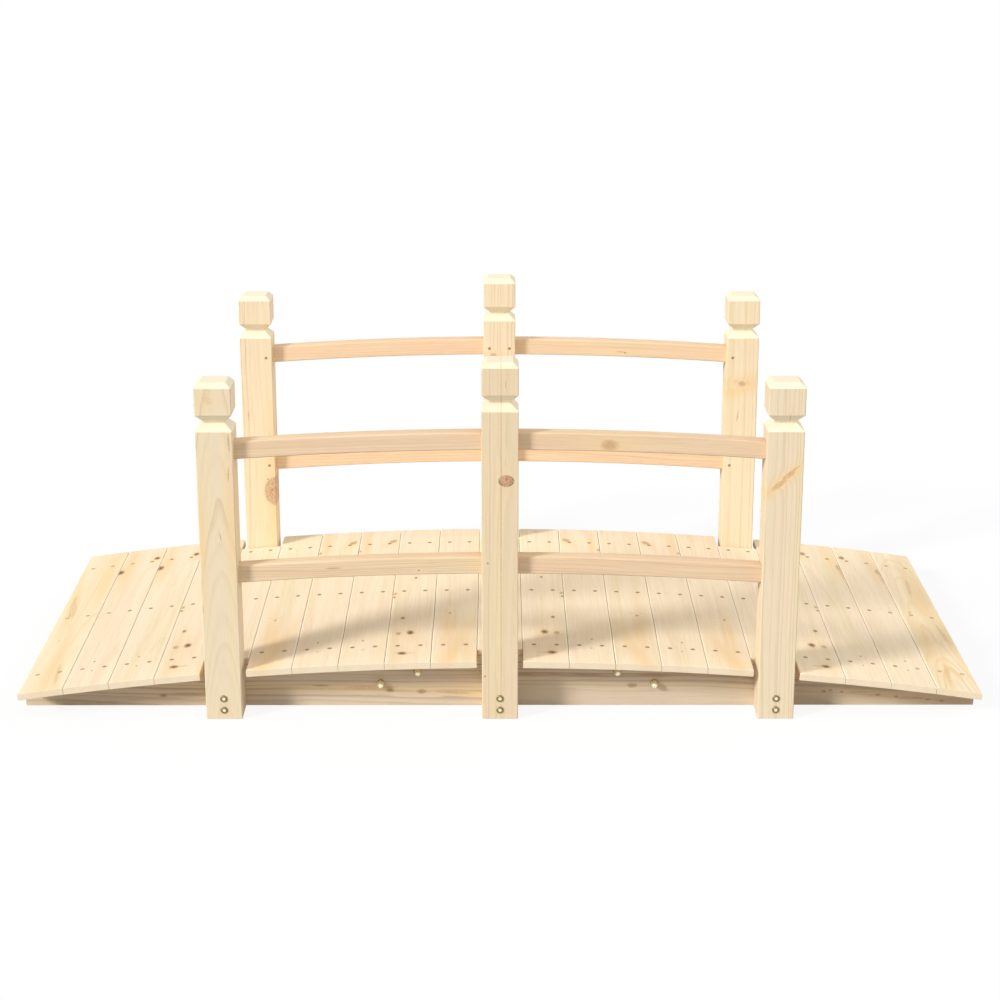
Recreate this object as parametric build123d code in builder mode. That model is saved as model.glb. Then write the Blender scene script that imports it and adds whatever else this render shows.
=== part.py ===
from build123d import *
from itertools import product
import math
import os

os.makedirs("parts", exist_ok=True)

# Arched garden footbridge in unfinished softwood, in millimetres.
# X runs along the bridge, Y across it and Z up. The origin lies on the ground under the crown.
# Front is the -Y side, left the -X side.

# Overall width, across the outer faces of the posts
bridge_width = 670.0

# Stringers: three beams with a flat foot and an arched top, each in two halves
arch_radius = 5254.0
stringer_end_height = 29.5
stringer_thickness = 44.0

# Splice boards, bolted across the joint of each stringer
splice_length = 490.0
splice_thickness = 18.0
splice_edge = 6.0

# Deck planks, laid square across the stringers
plank_width = 71.4
plank_thickness = 11.0
plank_gap = 0.2
plank_arris = 1.5
plank_setback = 3.0
plank_seat_clearance = 0.2
bay_planks = 5
ramp_planks = 4

# Posts: square, with a groove cut round below the cap and a bevelled top
post_size = 56.0
post_arris = 1.2
post_slot_gap = 7.8
post_plank_clearance = 2.0
centre_shaft_rise = 35.8
outer_shaft_rise = 21.3
groove_depth = 11.4
groove_flat = 2.8
cap_height = 41.2
cap_bevel = 8.1

# Handrails: arched about the same centre as the deck, heights to the middle of the rail
lower_rail_height = 153.3
upper_rail_height = 350.3
rail_depth = 27.4
rail_thickness = 26.0
rail_arris = 1.6
rail_clearance = 0.25
tenon_share = 0.32

# Lines across the bridge
post_y = bridge_width / 2 - post_size / 2
post_inner_y = bridge_width / 2 - post_size
stringer_y = post_inner_y - stringer_thickness / 2
plank_half_length = bridge_width / 2 - plank_setback
post_plank_half_length = post_inner_y - post_plank_clearance

# Steps along the arched top of the stringers
plank_pitch = plank_width + plank_gap
post_slot = post_size + 2 * post_slot_gap
post_plank_width = post_slot - 2 * plank_gap
post_step = post_slot + bay_planks * plank_pitch - plank_gap
deck_end_step = post_step + post_slot / 2 + ramp_planks * plank_pitch - plank_gap

# The arch
deck_end_angle = deck_end_step / arch_radius
stringer_half_length = arch_radius * math.sin(deck_end_angle)
arch_centre_z = stringer_end_height - arch_radius * math.cos(deck_end_angle)
deck_radius = arch_radius + plank_seat_clearance + plank_thickness
post_x = arch_radius * math.sin(post_step / arch_radius)
tenon = tenon_share * post_size


def height_on_arch(radius, x):
    """Height of a circle about the arch's centre, above a place along the bridge."""
    return arch_centre_z + math.sqrt(radius**2 - x**2)


def draw_arc(radius, from_x, to_x):
    """Line of a circle about the arch's centre, between two places along the bridge."""
    middle_x = (from_x + to_x) / 2
    stations = (from_x, middle_x, to_x)
    return ThreePointArc(*[(x, height_on_arch(radius, x)) for x in stations])


def draw_rail_outline(rail_height, margin, from_x, to_x):
    """Outline of an arched handrail, grown by a margin all round, with upright ends."""
    middle_radius = deck_radius + rail_height
    half_depth = rail_depth / 2 + margin
    top = draw_arc(middle_radius + half_depth, from_x - margin, to_x + margin)
    foot = draw_arc(middle_radius - half_depth, from_x - margin, to_x + margin)
    Line(top @ 0, foot @ 0)
    Line(top @ 1, foot @ 1)


def upright_plane(y):
    """Plane along the bridge at a distance across it, seen from the front."""
    return Plane.XZ.offset(-y)


def write(node, name):
    node.part.label = name
    export_step(node.part, "parts/" + name + ".step")


# Stringers. The halves of each meet beside the centre post, which is bolted to the left half.
joint_x = post_size / 2


def make_stringer(y, from_x, to_x, name):
    with BuildPart() as stringer:
        with BuildSketch(upright_plane(y)):
            with BuildLine():
                top = draw_arc(arch_radius, from_x, to_x)
                Polyline(top @ 0, (from_x, 0), (to_x, 0), top @ 1)
            make_face()
        extrude(amount=stringer_thickness / 2, both=True)
    write(stringer, name)


stringer_lines = {"front": -stringer_y, "middle": 0, "back": stringer_y}
for line, y in stringer_lines.items():
    make_stringer(y, -stringer_half_length, joint_x, "stringer_" + line + "_left")
    make_stringer(y, joint_x, stringer_half_length, "stringer_" + line + "_right")

# Splice boards lie flat on the inner face of a stringer, just below its top.
splice_end_x = joint_x + splice_length / 2
splice_top = height_on_arch(arch_radius, splice_end_x) - splice_edge
splice_foot = splice_edge


def make_splice(face_y, inward, name):
    with BuildPart() as splice:
        with BuildSketch(upright_plane(face_y)):
            with Locations((joint_x, splice_foot)):
                Rectangle(splice_length, splice_top - splice_foot, align=(Align.CENTER, Align.MIN))
        extrude(amount=splice_thickness, dir=(0, inward, 0))
    write(splice, name)


make_splice(-stringer_y + stringer_thickness / 2, 1, "splice_front")
make_splice(stringer_thickness / 2, 1, "splice_middle")
make_splice(stringer_y - stringer_thickness / 2, -1, "splice_back")


# Deck planks. Each lies flat, touching the arch along its middle.
def make_plank(step, width, half_length, name):
    angle = step / arch_radius
    along = (math.cos(angle), 0, -math.sin(angle))
    seat_radius = arch_radius + plank_seat_clearance
    seat_x = seat_radius * math.sin(angle)
    seat = (seat_x, 0, height_on_arch(seat_radius, seat_x))
    with BuildPart() as plank:
        with BuildSketch(Plane(origin=seat, x_dir=along, z_dir=(0, -1, 0))):
            Rectangle(width, plank_thickness, align=(Align.CENTER, Align.MIN))
            chamfer(vertices().group_by(Axis.Y)[-1], plank_arris)
        extrude(amount=half_length, both=True)
    write(plank, name)


# Between two posts and beyond the last one the planks are whole. At a post they stop at its inner face.
first_plank_step = post_slot / 2 + plank_width / 2
right_steps = [(first_plank_step + i * plank_pitch, False) for i in range(bay_planks)]
right_steps += [(post_step, True)]
right_steps += [(post_step + first_plank_step + i * plank_pitch, False) for i in range(ramp_planks)]
left_steps = [(-step, at_post) for step, at_post in reversed(right_steps)]
for number, (step, at_post) in enumerate(left_steps + [(0, True)] + right_steps, start=1):
    width = post_plank_width if at_post else plank_width
    half_length = post_plank_half_length if at_post else plank_half_length
    make_plank(step, width, half_length, f"plank_{number:02d}")


# Handrails. Each spans one bay and is housed in the sides of the posts at its ends.
bay_start_x = post_size / 2
bay_end_x = post_x - post_size / 2
rail_levels = {"lower": lower_rail_height, "upper": upper_rail_height}
rail_lines = {"front": -post_y, "back": post_y}
rail_spans = {
    "left": (-bay_end_x - tenon, -bay_start_x + tenon),
    "right": (bay_start_x - tenon, bay_end_x + tenon),
}


def make_rail(y, rail_height, from_x, to_x, name):
    with BuildPart() as rail:
        with BuildSketch(upright_plane(y)):
            with BuildLine():
                draw_rail_outline(rail_height, 0, from_x, to_x)
            make_face()
        extrude(amount=rail_thickness / 2, both=True)
        chamfer(rail.edges().filter_by(GeomType.CIRCLE), rail_arris)
    write(rail, name)


for line, y in rail_lines.items():
    for level, rail_height in rail_levels.items():
        for side, (from_x, to_x) in rail_spans.items():
            make_rail(y, rail_height, from_x, to_x, f"rail_{line}_{side}_{level}")


# Posts. The same outline is cut from both directions, so the groove and the bevel are mitred round it.
def half_post_outline(shaft_top):
    """Corners of the right half of a post, from the middle of its foot to the middle of its top."""
    half = post_size / 2
    neck = half - groove_depth
    groove_low = shaft_top + groove_depth
    groove_high = groove_low + groove_flat
    cap_foot = groove_high + groove_depth
    cap_top = cap_foot + cap_height
    post_top = cap_top + cap_bevel
    return [
        (0, 0),
        (half, 0),
        (half, shaft_top),
        (neck, groove_low),
        (neck, groove_high),
        (half, cap_foot),
        (half, cap_top),
        (half - cap_bevel, post_top),
        (0, post_top),
    ]


def make_post(x, y, shaft_rise, name):
    upper_rail_top = deck_radius + upper_rail_height + rail_depth / 2
    shaft_top = height_on_arch(upper_rail_top, x) + shaft_rise
    foot = (x, y, 0)
    front_view = Plane(origin=foot, x_dir=(1, 0, 0), z_dir=(0, -1, 0))
    side_view = Plane(origin=foot, x_dir=(0, 1, 0), z_dir=(1, 0, 0))
    with BuildPart() as post:
        for view, mode in ((front_view, Mode.ADD), (side_view, Mode.INTERSECT)):
            with BuildSketch(view):
                with BuildLine():
                    Polyline(*half_post_outline(shaft_top))
                    mirror(about=Plane.YZ)
                make_face()
            extrude(amount=post_size, both=True, mode=mode)
        shaft_and_cap_edges = post.edges().filter_by(Axis.Z).sort_by(SortBy.LENGTH)[-8:]
        chamfer(shaft_and_cap_edges, post_arris)
        for rail_height, (from_x, to_x) in product(rail_levels.values(), rail_spans.values()):
            with BuildSketch(upright_plane(y)):
                with BuildLine():
                    draw_rail_outline(rail_height, rail_clearance, from_x, to_x)
                make_face()
            extrude(amount=rail_thickness / 2 + rail_clearance, both=True, mode=Mode.SUBTRACT)
    write(post, name)


post_stations = {"left": -post_x, "centre": 0, "right": post_x}
for line, y in rail_lines.items():
    for station, x in post_stations.items():
        shaft_rise = centre_shaft_rise if station == "centre" else outer_shaft_rise
        make_post(x, y, shaft_rise, f"post_{line}_{station}")
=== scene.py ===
# %% [markdown]
# # An arched garden footbridge in bare fir
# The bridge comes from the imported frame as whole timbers: planks, posts, handrails, beams and splice boards.
# This lesson gives every timber its own fir, drives the screws and bolts, and sets light and camera.
# All sizes are in metres, X runs along the bridge, Y across it to the back, and Z up.

# %% Load the frame
import math

import bpy
import numpy as np
from mathutils import Matrix, Vector


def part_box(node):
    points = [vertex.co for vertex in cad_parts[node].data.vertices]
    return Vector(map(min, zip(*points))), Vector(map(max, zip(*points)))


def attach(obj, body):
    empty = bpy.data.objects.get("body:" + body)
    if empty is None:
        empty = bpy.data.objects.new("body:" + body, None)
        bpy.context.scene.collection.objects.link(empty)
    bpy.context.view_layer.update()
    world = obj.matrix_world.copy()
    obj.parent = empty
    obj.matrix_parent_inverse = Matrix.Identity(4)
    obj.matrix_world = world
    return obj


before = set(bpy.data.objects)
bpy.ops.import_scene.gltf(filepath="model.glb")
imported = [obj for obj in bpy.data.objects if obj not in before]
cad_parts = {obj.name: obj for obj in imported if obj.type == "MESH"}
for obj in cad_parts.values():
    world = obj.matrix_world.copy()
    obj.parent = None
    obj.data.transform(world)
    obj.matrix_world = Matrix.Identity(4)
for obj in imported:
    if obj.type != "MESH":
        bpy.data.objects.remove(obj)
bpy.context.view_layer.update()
print("timbers in the frame:", len(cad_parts))

# %% [markdown]
# ## Where the timbers are
# Everything that scene.py adds sits on a timber, so the first step reads their places.
# The planks lie on one arc, and two of them are enough to find its radius:
# a chord of half length x that drops by h belongs to a circle of radius (x² + h²) / 2h.

# %% Measure the timbers
PLANK_COUNT = 21
PLANKS = [f"plank_{number:02d}" for number in range(1, PLANK_COUNT + 1)]
POSTS = [f"post_{line}_{place}" for line in ("front", "back") for place in ("left", "centre", "right")]
BAYS = [(line, side) for line in ("front", "back") for side in ("left", "right")]
RAILS = [f"rail_{line}_{side}_{level}" for line, side in BAYS for level in ("lower", "upper")]
BEAM_LINES = ("front", "middle", "back")
BEAMS = [f"stringer_{line}_{side}" for line in BEAM_LINES for side in ("left", "right")]
SPLICES = [f"splice_{line}" for line in BEAM_LINES]


def centre_of(node):
    low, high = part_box(node)
    return (low + high) / 2


def size_of(node):
    low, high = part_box(node)
    return high - low


crown = centre_of("plank_11")
end = centre_of("plank_21")
drop = crown.z - end.z
arch_radius = (end.x**2 + drop**2) / (2 * drop)
plank_width = size_of("plank_10").x
plank_thickness = size_of("plank_11").z
rail_thickness = size_of("rail_front_left_upper").y
post_size = size_of("post_front_centre").x
print(f"arch radius {arch_radius:.3f}, plank {plank_width:.4f} wide and {plank_thickness:.4f} thick")


def plank_angle(node):
    """Tilt of a plank about Y: the angle whose sine is its place along the bridge over the arch's radius."""
    return math.asin(centre_of(node).x / arch_radius)


# %% [markdown]
# ## Building shaders from code
# A shader is a tree of nodes, and writing one by hand takes many lines.
# Three small helpers keep it readable: one fills a socket, one adds a node, and one does arithmetic.
# Fir shows on every timber, so its parts are node groups with named sockets, made once.

# %% Node helpers
def put(tree, socket, value):
    """Wires a socket to another socket, or sets it to a plain value."""
    if isinstance(value, bpy.types.NodeSocket):
        tree.links.new(value, socket)
    else:
        socket.default_value = value


def add(tree, kind, sockets=None, **settings):
    made = tree.nodes.new(kind)
    for name, value in settings.items():
        setattr(made, name, value)
    for key, value in (sockets or {}).items():
        put(tree, made.inputs[key], value)
    return made


def calc(tree, operation, *values):
    made = add(tree, "ShaderNodeMath", operation=operation)
    for socket, value in zip(made.inputs, values):
        put(tree, socket, value)
    return made.outputs[0]


def ease(tree, value, low, high, to_low=0.0, to_high=1.0):
    """Smooth step: to_low below low, to_high above high, and an S curve between them."""
    sockets = {"Value": value, "From Min": low, "From Max": high, "To Min": to_low, "To Max": to_high}
    return add(tree, "ShaderNodeMapRange", sockets, interpolation_type="SMOOTHSTEP").outputs[0]


def mix(tree, share, first, second, blend="MIX"):
    made = add(tree, "ShaderNodeMix", data_type="RGBA", blend_type=blend)
    put(tree, made.inputs[0], share)
    put(tree, made.inputs[6], first)
    put(tree, made.inputs[7], second)
    return made.outputs[2]


def new_group(name, inputs, outputs):
    """A shader node group with named sockets, given as pairs of name and kind."""
    group = bpy.data.node_groups.new(name, "ShaderNodeTree")
    kinds = {"number": "NodeSocketFloat", "vector": "NodeSocketVector", "colour": "NodeSocketColor"}
    for direction, sockets in (("INPUT", inputs), ("OUTPUT", outputs)):
        for socket_name, kind in sockets:
            group.interface.new_socket(socket_name, in_out=direction, socket_type=kinds[kind])
    source = group.nodes.new("NodeGroupInput").outputs
    sink = group.nodes.new("NodeGroupOutput").inputs
    return group, source, sink


def use(tree, group, sockets):
    """Places a node group in a tree, with its inputs wired or set, and gives its outputs."""
    made = add(tree, "ShaderNodeGroup", node_tree=group)
    for key, value in sockets.items():
        put(tree, made.inputs[key], value)
    return made.outputs


print("node helpers ready")

# %% [markdown]
# ## Growth rings
# A board is a slice of a tree, so its grain is a slice through growth rings: circles about the pith.
# The pith runs along the board, a little off its line, and wanders as the tree did.
# Worked out in space, the same rings give straight lines, flames and the arcs of the end grain.
# In board coordinates X goes across, Y along and Z out of the face.

# %% Group: growth rings
RING_INPUTS = [
    ("Board", "vector"), ("Pith Across", "number"), ("Pith Depth", "number"), ("Lean", "number"),
    ("Wander", "number"), ("Ring Width", "number"), ("Lift", "number"), ("Seed", "number"),
]
RING_OUTPUTS = [
    ("Late", "number"), ("Fibre", "number"), ("Rosy", "number"), ("Straw", "number"), ("Dash", "number"),
]
# Waves a metre of each noise, across, along and through the board
SWAY_WAVES = (0.0, 2.1, 0.0)
DIP_WAVES = (0.0, 2.9, 0.0)
ROUGH_WAVES = (46.0, 5.0, 46.0)
UNEVEN_WAVES = (120.0, 0.0, 0.0)
FIBRE_WAVES = (1500.0, 26.0, 1500.0)
ROSY_WAVES = (85.0, 2.6, 85.0)
STRAW_WAVES = (50.0, 1.8, 50.0)
DASH_WAVES = (520.0, 22.0, 520.0)


def stretched_noise(tree, board, seed, scale, detail=2.0, roughness=0.5):
    """Noise that is scaled by its own factor across, along and through the board."""
    scaled = add(tree, "ShaderNodeVectorMath", {0: board, 1: scale}, operation="MULTIPLY").outputs[0]
    sockets = {"Vector": scaled, "W": seed, "Scale": 1.0, "Detail": detail, "Roughness": roughness}
    return add(tree, "ShaderNodeTexNoise", sockets, noise_dimensions="4D").outputs[0]


def pith_distance(tree, given):
    """Distance to the pith, whose line leans along the board and sways by noise along its length."""
    board, seed = given["Board"], given["Seed"]
    place = add(tree, "ShaderNodeSeparateXYZ", {0: board}).outputs
    sway = stretched_noise(tree, board, seed, SWAY_WAVES, 1.0)
    dip = stretched_noise(tree, board, calc(tree, "ADD", seed, 40.0), DIP_WAVES, 1.0)
    reach = calc(tree, "MULTIPLY", given["Wander"], 2.0)
    sway = calc(tree, "MULTIPLY", calc(tree, "SUBTRACT", sway, 0.5), reach)
    dip = calc(tree, "MULTIPLY", calc(tree, "SUBTRACT", dip, 0.5), reach)
    across = calc(tree, "ADD", calc(tree, "SUBTRACT", place[0], given["Pith Across"]), sway)
    slope = calc(tree, "MULTIPLY", place[1], given["Lean"])
    depth = calc(tree, "ADD", calc(tree, "SUBTRACT", place[2], given["Pith Depth"]), slope)
    depth = calc(tree, "ADD", depth, dip)
    across_square = calc(tree, "MULTIPLY", across, across)
    return calc(tree, "SQRT", calc(tree, "MULTIPLY_ADD", depth, depth, across_square))


def make_rings():
    """Ring number = distance to the pith / ring width + lift + unevenness.
    Its fraction is the way through a year: the wood darkens slowly, then the next year starts pale."""
    group, given, out = new_group("growth_rings", RING_INPUTS, RING_OUTPUTS)
    board, seed = given["Board"], given["Seed"]
    radius = pith_distance(group, given)
    spread = add(group, "ShaderNodeCombineXYZ", {0: radius}).outputs[0]
    uneven = stretched_noise(group, spread, seed, UNEVEN_WAVES, 2.0, 0.6)
    rough = stretched_noise(group, board, seed, ROUGH_WAVES, 3.0, 0.55)
    rings = calc(group, "ADD", calc(group, "DIVIDE", radius, given["Ring Width"]), given["Lift"])
    rings = calc(group, "MULTIPLY_ADD", uneven, 3.0, rings)
    rings = calc(group, "MULTIPLY_ADD", rough, 1.2, rings)
    phase = calc(group, "FRACT", rings)
    year = calc(group, "ADD", calc(group, "FLOOR", rings), seed)
    year = add(group, "ShaderNodeTexWhiteNoise", {"W": year}, noise_dimensions="1D").outputs[0]
    late = calc(group, "MULTIPLY", ease(group, phase, 0.45, 0.93), ease(group, phase, 0.94, 1.0, 1.0, 0.0))
    strength = calc(group, "MULTIPLY_ADD", calc(group, "MULTIPLY", year, year), 0.85, 0.15)
    put(group, out["Late"], calc(group, "MULTIPLY", late, strength))
    put(group, out["Fibre"], stretched_noise(group, board, seed, FIBRE_WAVES, 3.0, 0.6))
    put(group, out["Rosy"], stretched_noise(group, board, seed, ROSY_WAVES, 4.0, 0.62))
    straw_seed = calc(group, "ADD", seed, 9.0)
    put(group, out["Straw"], stretched_noise(group, board, straw_seed, STRAW_WAVES, 3.0, 0.6))
    dash = stretched_noise(group, board, calc(group, "ADD", seed, 17.0), DASH_WAVES, 1.0, 0.5)
    put(group, out["Dash"], ease(group, dash, 0.68, 0.8))
    return group


growth_rings = make_rings()
print("growth rings:", len(growth_rings.nodes), "nodes")

# %% [markdown]
# ## Knots
# A knot is a branch that the tree grew round. The rings are pushed aside, the heart is brown and blotched,
# the pith is dark, a thin line of bark goes round it, and resin warms the wood near by.
# Each knot is one small group. It passes on what the knots before it gave,
# so a board chains as many as it has.

# %% Group: one knot
KNOT_CARRY = [("Lift", "number"), ("Heart", "number"), ("Bark", "number"), ("Glow", "number")]
KNOT_INPUTS = [
    ("Board", "vector"), ("Middle", "vector"), ("Turn", "number"), ("Radius", "number"),
    ("Stretch", "number"), ("Heart Share", "number"), ("Pith Share", "number"), ("Rim Share", "number"),
    ("Glow Share", "number"), ("Pull", "number"), ("Seed", "number"),
] + KNOT_CARRY
RIM_SHARE = 0.15
RIM_WOBBLE = 0.0042
RAGGED_WAVES = (330.0, 190.0, 40.0)
BLOTCH_WAVES = (420.0, 300.0, 60.0)
PITH_WIDTH = 0.52
LIFT_WIDTH = 1.9
GLOW_WIDTH = 1.7


def bell(tree, value, width):
    """Bell curve: 1 at zero, and e to the minus (value / width) squared elsewhere."""
    share = calc(tree, "DIVIDE", value, width)
    return calc(tree, "EXPONENT", calc(tree, "MULTIPLY", calc(tree, "MULTIPLY", share, share), -1.0))


def knot_place(group, given):
    """Place in knot radii, turned by Turn and shortened along the knot by Stretch."""
    offset = add(group, "ShaderNodeVectorMath", {0: given["Board"], 1: given["Middle"]}, operation="SUBTRACT")
    sockets = {"Vector": offset.outputs[0], "Angle": given["Turn"]}
    turned_place = add(group, "ShaderNodeVectorRotate", sockets, rotation_type="Z_AXIS").outputs[0]
    place = add(group, "ShaderNodeSeparateXYZ", {0: turned_place}).outputs
    across = calc(group, "DIVIDE", place[0], given["Radius"])
    along = calc(group, "DIVIDE", calc(group, "DIVIDE", place[1], given["Radius"]), given["Stretch"])
    return across, along


def make_knot():
    """Distance to the knot's middle in radii, plus an uneven rim. The heart fades out towards the rim,
    the pith is a bell curve at the middle, the bark one at the rim, and glow and lift are wide ones."""
    group, given, out = new_group("knot", KNOT_INPUTS, KNOT_CARRY)
    across, along = knot_place(group, given)
    ragged = stretched_noise(group, given["Board"], given["Seed"], RAGGED_WAVES, 3.0, 0.65)
    blotch_seed = calc(group, "ADD", given["Seed"], 5.0)
    blotch = stretched_noise(group, given["Board"], blotch_seed, BLOTCH_WAVES)
    wobble = calc(group, "MINIMUM", calc(group, "DIVIDE", RIM_WOBBLE, given["Radius"]), 0.9)
    across_square = calc(group, "MULTIPLY", across, across)
    distance = calc(group, "SQRT", calc(group, "MULTIPLY_ADD", along, along, across_square))
    distance = calc(group, "MULTIPLY_ADD", calc(group, "SUBTRACT", ragged, 0.5), wobble, distance)
    far_along = calc(group, "MULTIPLY", along, 0.45)
    spread = calc(group, "SQRT", calc(group, "MULTIPLY_ADD", far_along, far_along, across_square))
    lift = bell(group, spread, LIFT_WIDTH)
    put(group, out["Lift"], calc(group, "MULTIPLY_ADD", lift, given["Pull"], given["Lift"]))
    patchy = ease(group, blotch, 0.3, 0.65, 0.45, 1.0)
    heart = calc(group, "MULTIPLY", ease(group, distance, 0.55, 1.08, 1.0, 0.0), patchy)
    heart = calc(group, "MULTIPLY", heart, given["Heart Share"])
    put(group, out["Heart"], calc(group, "MAXIMUM", heart, given["Heart"]))
    pith = calc(group, "MULTIPLY", bell(group, distance, PITH_WIDTH), given["Pith Share"])
    off_rim = calc(group, "SUBTRACT", distance, 0.9)
    rim = calc(group, "MULTIPLY", bell(group, off_rim, RIM_SHARE), ease(group, ragged, 0.36, 0.6, 0.2, 1.0))
    bark = calc(group, "MAXIMUM", calc(group, "MULTIPLY", rim, given["Rim Share"]), pith)
    put(group, out["Bark"], calc(group, "MAXIMUM", bark, given["Bark"]))
    glow = calc(group, "MULTIPLY", bell(group, spread, GLOW_WIDTH), ease(group, blotch, 0.2, 0.7, 0.7, 1.0))
    glow = calc(group, "MULTIPLY", glow, given["Glow Share"])
    put(group, out["Glow"], calc(group, "MAXIMUM", glow, given["Glow"]))
    return group


knot_group = make_knot()
print("knot:", len(knot_group.nodes), "nodes")

# %% [markdown]
# ## The finish of planed fir
# The rings, fibres and knots are only masks so far. This group turns them into colour, roughness and height.
# Early wood is cream, late wood tan, and fibres run along the board as fine streaks. Faces sawn across
# the grain have a colour of their own, upper corners get a painted highlight, and seam sides painted shade.
# Late wood stands a little proud of the soft early wood after planing, and a bump shows it.

# %% Group: planed fir
FINISH_INPUTS = RING_OUTPUTS + KNOT_CARRY[1:] + [
    ("Sawn", "number"), ("Edge Highlight", "number"), ("Seam", "number"), ("Grain", "number"),
    ("Early", "colour"), ("Late Colour", "colour"), ("Heart Colour", "colour"), ("Sawn Colour", "colour"),
]
BARK_COLOUR = (0.110, 0.048, 0.014, 1.0)
GLOW_COLOUR = (0.86, 0.62, 0.33, 1.0)
ROSY_COLOUR = (0.86, 0.66, 0.47, 1.0)
STRAW_COLOUR = (0.83, 0.69, 0.43, 1.0)
DASH_COLOUR = (0.52, 0.32, 0.155, 1.0)
# Painted highlight on the planks' upper corners and painted shade on their sides in the seams
EDGE_HIGHLIGHT_COLOUR = (0.98, 0.86, 0.66, 1.0)
SEAM_SHADE_COLOUR = (0.60, 0.40, 0.23, 1.0)
ROSY_SHARE = 0.55
STRAW_SHARE = 0.7
DASH_SHARE = 0.3
SAWN_SHARE = 0.6
# Shares of the painted highlight on plank corners and of the painted shade in the seams
EDGE_HIGHLIGHT_SHARE = 0.85
SEAM_SHADE_SHARE = 0.6


def make_finish():
    """Colour = early wood, mixed with late wood by the rings, then streaked, warmed near knots and
    browned in them. Height = late wood and fibres standing up, bark and dashes sunk."""
    outputs = [("Color", "colour"), ("Roughness", "number"), ("Height", "number")]
    group, given, out = new_group("planed_fir", FINISH_INPUTS, outputs)
    colour = mix(group, ease(group, given["Rosy"], 0.42, 0.7, 0.0, ROSY_SHARE), given["Early"], ROSY_COLOUR)
    colour = mix(group, ease(group, given["Straw"], 0.46, 0.70, 0.0, STRAW_SHARE), colour, STRAW_COLOUR)
    late = calc(group, "MULTIPLY", given["Late"], given["Grain"])
    colour = mix(group, late, colour, given["Late Colour"])
    colour = mix(group, calc(group, "MULTIPLY", given["Dash"], DASH_SHARE), colour, DASH_COLOUR)
    fibre = ease(group, given["Fibre"], 0.3, 0.75, 1.03, 0.94)
    shade = add(group, "ShaderNodeCombineXYZ", {0: fibre, 1: fibre, 2: fibre}).outputs[0]
    colour = mix(group, 1.0, colour, shade, "MULTIPLY")
    colour = mix(group, given["Glow"], colour, GLOW_COLOUR)
    colour = mix(group, calc(group, "MULTIPLY", given["Sawn"], SAWN_SHARE), colour, given["Sawn Colour"])
    # Painted highlight on the planks' upper corners, then painted shade on their sides in the seams
    colour = mix(group, calc(group, "MULTIPLY", given["Edge Highlight"], EDGE_HIGHLIGHT_SHARE), colour, EDGE_HIGHLIGHT_COLOUR)
    colour = mix(group, calc(group, "MULTIPLY", given["Seam"], SEAM_SHADE_SHARE), colour, SEAM_SHADE_COLOUR)
    colour = mix(group, given["Heart"], colour, given["Heart Colour"])
    colour = mix(group, given["Bark"], colour, BARK_COLOUR)
    put(group, out["Color"], colour)
    rough = calc(group, "MULTIPLY_ADD", given["Fibre"], 0.2, 0.5)
    rough = calc(group, "MULTIPLY_ADD", given["Sawn"], 0.12, rough)
    put(group, out["Roughness"], calc(group, "MULTIPLY_ADD", given["Heart"], -0.15, rough))
    height = calc(group, "MULTIPLY_ADD", given["Late"], 0.5, calc(group, "MULTIPLY", given["Fibre"], 0.35))
    height = calc(group, "MULTIPLY_ADD", given["Dash"], -0.3, height)
    put(group, out["Height"], calc(group, "MULTIPLY_ADD", given["Bark"], -0.6, height))
    return group


planed_fir = make_finish()
print("planed fir:", len(planed_fir.nodes), "nodes")

# %% [markdown]
# ## Kinds of knot
# Branches leave many marks: dark round knots, pale ones, pins, flames and mere stains. Each kind is a row
# of values for the knot group, so a new kind needs no new nodes.

# %% Kinds of knot
KNOT_KINDS = {
    "pin": dict(radius=0.0016, stretch=1.4, heart=0.70, pith=0.55, rim=0.0, glow=0.12, pull=0.3),
    "brown": dict(radius=0.0048, stretch=1.7, heart=0.72, pith=0.60, rim=0.10, glow=0.45, pull=1.0),
    "dark": dict(radius=0.0068, stretch=1.6, heart=0.80, pith=0.95, rim=0.15, glow=0.60, pull=1.4),
    "spike": dict(radius=0.0086, stretch=0.9, heart=0.75, pith=0.95, rim=0.15, glow=0.60, pull=1.0),
    "edge": dict(radius=0.0074, stretch=1.8, heart=0.85, pith=0.88, rim=0.15, glow=1.00, pull=1.6),
    "pale": dict(radius=0.0056, stretch=1.6, heart=0.50, pith=0.16, rim=0.0, glow=0.55, pull=0.6),
    "speck": dict(radius=0.0030, stretch=2.0, heart=0.48, pith=0.26, rim=0.0, glow=0.25, pull=0.0),
    "wing": dict(radius=0.0030, stretch=0.8, heart=0.20, pith=0.0, rim=0.0, glow=0.40, pull=0.0),
    "oval": dict(radius=0.0118, stretch=0.76, heart=0.95, pith=0.0, rim=0.80, glow=0.25, pull=0.6),
    "large": dict(radius=0.0190, stretch=1.35, heart=0.86, pith=0.0, rim=0.42, glow=0.45, pull=2.0),
    "flame": dict(radius=0.0054, stretch=3.2, heart=0.50, pith=0.0, rim=0.0, glow=1.00, pull=0.5),
    "flare": dict(radius=0.0052, stretch=11.0, heart=0.32, pith=0.0, rim=0.0, glow=0.75, pull=0.0),
    "streak": dict(radius=0.0012, stretch=9.0, heart=0.60, pith=0.10, rim=0.0, glow=0.15, pull=0.0),
    "line": dict(radius=0.0011, stretch=400.0, heart=0.38, pith=0.10, rim=0.0, glow=0.20, pull=0.0),
    "stain": dict(radius=0.0100, stretch=5.0, heart=0.0, pith=0.0, rim=0.0, glow=0.85, pull=0.0),
}
print("knot kinds:", len(KNOT_KINDS))

# %% [markdown]
# ## Tones of fir
# The timbers come from different trees, from cream to rosy and tan. A tone has three colours:
# early wood, late wood and the hearts of its knots.

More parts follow.
